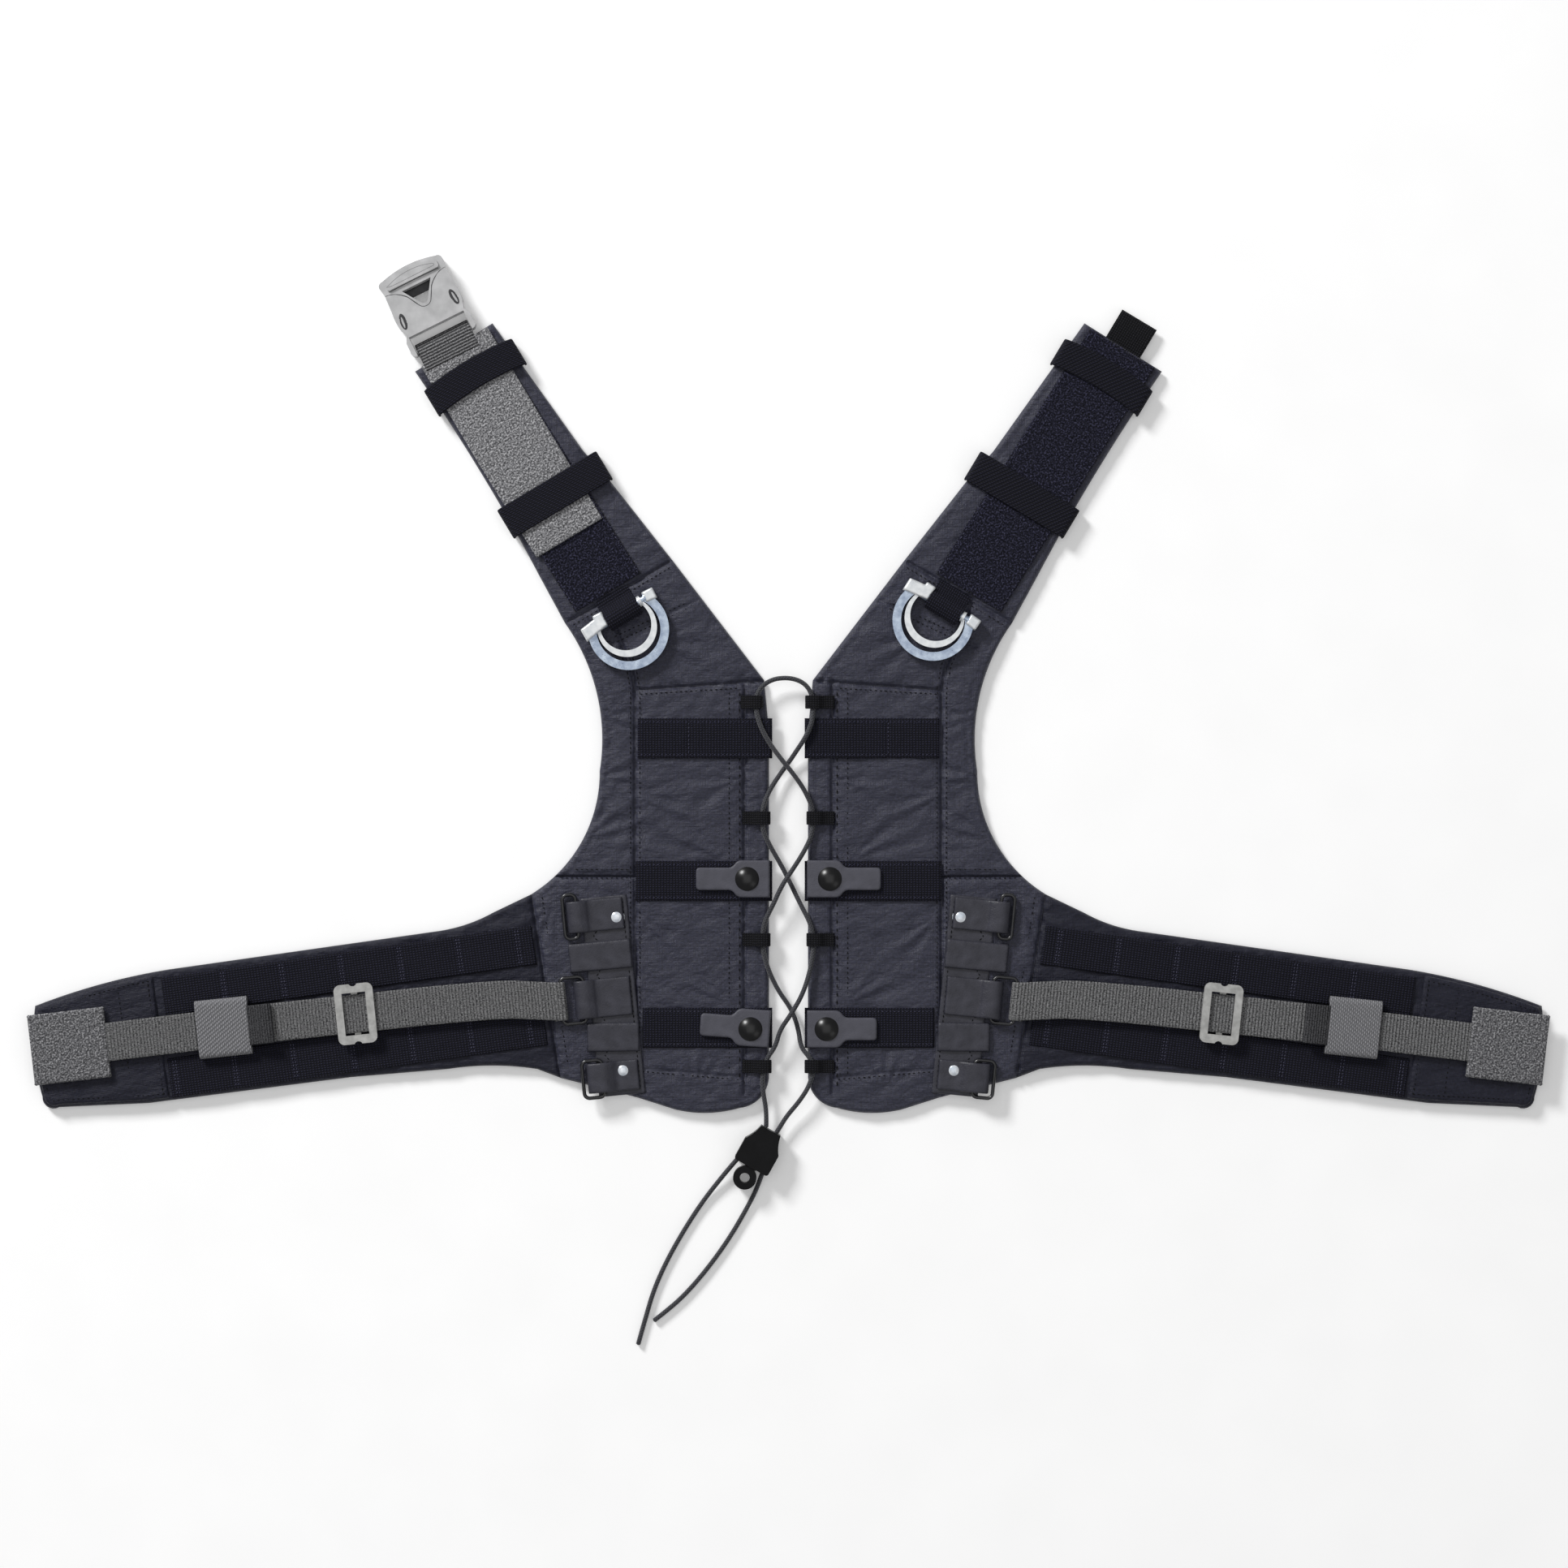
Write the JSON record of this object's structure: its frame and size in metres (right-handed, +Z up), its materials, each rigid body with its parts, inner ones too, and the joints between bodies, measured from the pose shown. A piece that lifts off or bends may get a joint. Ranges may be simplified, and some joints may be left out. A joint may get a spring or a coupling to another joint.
{
  "type": "safety harness vest",
  "caption": "Padded lace-up harness vest laid flat: two halves laced with shock cord, with belt wings, shoulder straps, D-rings, snap tabs and a side-release buckle.",
  "frame": {"origin": "under the middle of the vest's own bounding box, on the surface that it lies on, cords and cord lock left out", "axes": "+X across the chest from the left half to the right half as pictured, +Y from hem to shoulders, +Z up through the thickness"},
  "size_m": [0.9754, 0.6986, 0.0144],
  "materials": {
    "charcoal_fabric": "matte",
    "navy_fabric": "matte",
    "navy_webbing": "matte",
    "black_tape": "matte",
    "grey_webbing": "matte",
    "grey_loop": "matte",
    "leather": "satin",
    "ring_steel": "polished",
    "black_wire": "satin",
    "rivet_chrome": "polished",
    "snap_black": "gloss",
    "adjuster_aluminium": "brushed",
    "buckle_grey": "satin",
    "lock_black": "satin",
    "shock_cord": "woven",
    "spring_steel": "bright"
  },
  "bodies": {
    "left_torso": {"left_torso_pad": "charcoal_fabric", "left_torso_panels": "charcoal_fabric", "left_torso_webbing": "navy_webbing", "left_lace_loops": "black_tape", "left_ring_holder": "leather", "left_rivets": "rivet_chrome", "left_middle_wire_ring": "black_wire", "left_d_ring_tab": "black_tape", "left_d_ring_bar": "ring_steel", "lacing_cord": "shock_cord", "left_cord_tail": "shock_cord", "right_cord_tail": "shock_cord"},
    "left_shoulder": {"left_shoulder_pad": "charcoal_fabric", "left_shoulder_loop_strip": "navy_webbing", "left_shoulder_keepers": "navy_webbing", "grey_shoulder_strap": "grey_loop", "buckle_body": "buckle_grey"},
    "left_belt": {"left_belt_pad": "navy_fabric", "left_belt_webbing": "navy_webbing", "left_belt_strap": "grey_webbing"},
    "left_d_ring_outer": {"left_d_ring": "ring_steel"},
    "left_d_ring_crescent": {"left_d_ring_inner": "ring_steel"},
    "left_upper_ring": {"left_upper_wire_ring": "black_wire"},
    "left_lower_ring": {"left_lower_wire_ring": "black_wire"},
    "left_upper_tab": {"left_upper_snap_tab": "leather", "left_upper_snap_cap": "snap_black"},
    "left_lower_tab": {"left_lower_snap_tab": "leather", "left_lower_snap_cap": "snap_black"},
    "left_adjuster": {"left_belt_adjuster": "adjuster_aluminium"},
    "left_keeper": {"left_belt_keeper": "grey_webbing"},
    "right_torso": {"right_torso_pad": "charcoal_fabric", "right_torso_panels": "charcoal_fabric", "right_torso_webbing": "navy_webbing", "right_lace_loops": "black_tape", "right_ring_holder": "leather", "right_rivets": "rivet_chrome", "right_middle_wire_ring": "black_wire", "right_d_ring_tab": "black_tape", "right_d_ring_bar": "ring_steel"},
    "right_shoulder": {"right_shoulder_pad": "charcoal_fabric", "right_shoulder_loop_strip": "navy_webbing", "right_shoulder_keepers": "navy_webbing", "right_end_tab": "black_tape"},
    "right_belt": {"right_belt_pad": "navy_fabric", "right_belt_webbing": "navy_webbing", "right_belt_strap": "grey_webbing"},
    "right_d_ring_outer": {"right_d_ring": "ring_steel"},
    "right_d_ring_crescent": {"right_d_ring_inner": "ring_steel"},
    "right_upper_ring": {"right_upper_wire_ring": "black_wire"},
    "right_lower_ring": {"right_lower_wire_ring": "black_wire"},
    "right_upper_tab": {"right_upper_snap_tab": "leather", "right_upper_snap_cap": "snap_black"},
    "right_lower_tab": {"right_lower_snap_tab": "leather", "right_lower_snap_cap": "snap_black"},
    "right_adjuster": {"right_belt_adjuster": "adjuster_aluminium"},
    "right_keeper": {"right_belt_keeper": "grey_webbing"},
    "buckle_insert_body": {"buckle_insert": "buckle_grey"},
    "cord_lock": {"cord_lock_body": "lock_black", "cord_lock_spring": "spring_steel"},
    "lock_plunger": {"cord_lock_plunger": "lock_black"}
  },
  "joints": [
    {"name": "centre_fold", "type": "hinge", "parent": "left_torso", "child": "right_torso", "pos_m": [0, -0.1, 0.006], "axis": [0, 1, 0], "range_deg": [-90, 0], "deforming": ["lacing_cord"]},
    {"name": "left_shoulder_fold", "type": "hinge", "parent": "left_torso", "child": "left_shoulder", "pos_m": [-0.1087, 0.0593, 0.006], "axis": [0.8658, 0.5004, 0], "range_deg": [0, 90]},
    {"name": "left_belt_fold", "type": "hinge", "parent": "left_torso", "child": "left_belt", "pos_m": [-0.1555, -0.1934, 0.006], "axis": [-0.1589, 0.9873, 0], "range_deg": [0, 90], "deforming": ["left_belt_strap"]},
    {"name": "left_d_ring_swing", "type": "hinge", "parent": "left_torso", "child": "left_d_ring_outer", "pos_m": [-0.10852, 0.04541, 0.01], "axis": [0.8572, 0.515, 0], "range_deg": [-150, 0]},
    {"name": "left_crescent_ring_swing", "type": "hinge", "parent": "left_torso", "child": "left_d_ring_crescent", "pos_m": [-0.10852, 0.04541, 0.01], "axis": [0.8572, 0.515, 0], "range_deg": [-150, 0]},
    {"name": "left_upper_ring_swing", "type": "hinge", "parent": "left_torso", "child": "left_upper_ring", "pos_m": [-0.13552, -0.14841, 0.009], "axis": [-0.0958, 0.9954, 0], "range_deg": [0, 90]},
    {"name": "left_lower_ring_swing", "type": "hinge", "parent": "left_torso", "child": "left_lower_ring", "pos_m": [-0.11849, -0.25225, 0.009], "axis": [-0.0958, 0.9954, 0], "range_deg": [0, 90]},
    {"name": "left_upper_tab_lift", "type": "hinge", "parent": "left_torso", "child": "left_upper_tab", "pos_m": [-0.0125, -0.1245, 0.0089], "axis": [0, 1, 0], "range_deg": [0, 85]},
    {"name": "left_lower_tab_lift", "type": "hinge", "parent": "left_torso", "child": "left_lower_tab", "pos_m": [-0.0125, -0.2207, 0.0089], "axis": [0, 1, 0], "range_deg": [0, 85]},
    {"name": "left_adjuster_slide", "type": "slide", "parent": "left_belt", "child": "left_adjuster", "axis": [-0.9945, -0.1045, 0], "range_m": [-0.06, 0.035]},
    {"name": "left_keeper_slide", "type": "slide", "parent": "left_belt", "child": "left_keeper", "axis": [-0.9945, -0.1045, 0], "range_m": [0, 0.04]},
    {"name": "right_shoulder_fold", "type": "hinge", "parent": "right_torso", "child": "right_shoulder", "pos_m": [0.1087, 0.0593, 0.006], "axis": [0.8658, -0.5004, 0], "range_deg": [0, 90]},
    {"name": "right_belt_fold", "type": "hinge", "parent": "right_torso", "child": "right_belt", "pos_m": [0.1555, -0.1934, 0.006], "axis": [-0.1589, -0.9873, 0], "range_deg": [0, 90], "deforming": ["right_belt_strap"]},
    {"name": "right_d_ring_swing", "type": "hinge", "parent": "right_torso", "child": "right_d_ring_outer", "pos_m": [0.09866, 0.05133, 0.01], "axis": [0.8572, -0.515, 0], "range_deg": [-150, 0]},
    {"name": "right_crescent_ring_swing", "type": "hinge", "parent": "right_torso", "child": "right_d_ring_crescent", "pos_m": [0.09866, 0.05133, 0.01], "axis": [0.8572, -0.515, 0], "range_deg": [-150, 0]},
    {"name": "right_upper_ring_swing", "type": "hinge", "parent": "right_torso", "child": "right_upper_ring", "pos_m": [0.13552, -0.14841, 0.009], "axis": [-0.0958, -0.9954, 0], "range_deg": [0, 90]},
    {"name": "right_lower_ring_swing", "type": "hinge", "parent": "right_torso", "child": "right_lower_ring", "pos_m": [0.11849, -0.25225, 0.009], "axis": [-0.0958, -0.9954, 0], "range_deg": [0, 90]},
    {"name": "right_upper_tab_lift", "type": "hinge", "parent": "right_torso", "child": "right_upper_tab", "pos_m": [0.0125, -0.1245, 0.0089], "axis": [0, -1, 0], "range_deg": [0, 85]},
    {"name": "right_lower_tab_lift", "type": "hinge", "parent": "right_torso", "child": "right_lower_tab", "pos_m": [0.0125, -0.2207, 0.0089], "axis": [0, -1, 0], "range_deg": [0, 85]},
    {"name": "right_adjuster_slide", "type": "slide", "parent": "right_belt", "child": "right_adjuster", "axis": [0.9945, -0.1045, 0], "range_m": [-0.06, 0.035]},
    {"name": "right_keeper_slide", "type": "slide", "parent": "right_belt", "child": "right_keeper", "axis": [0.9945, -0.1045, 0], "range_m": [0, 0.04]},
    {"name": "buckle_release", "type": "slide", "parent": "left_shoulder", "child": "buckle_insert_body", "axis": [-0.4462, 0.8949, 0], "range_m": [0, 0.035]},
    {"name": "cord_lock_slide", "type": "slide", "parent": "left_torso", "child": "cord_lock", "axis": [-0.4863, -0.8738, 0], "range_m": [-0.02, 0.06], "deforming": ["left_cord_tail", "right_cord_tail"]},
    {"name": "lock_plunger_press", "type": "slide", "parent": "cord_lock", "child": "lock_plunger", "axis": [0.4863, 0.8738, 0], "range_m": [0, 0.003], "stiffness_N_per_m": 400, "deforming": ["cord_lock_spring"]}
  ]
}
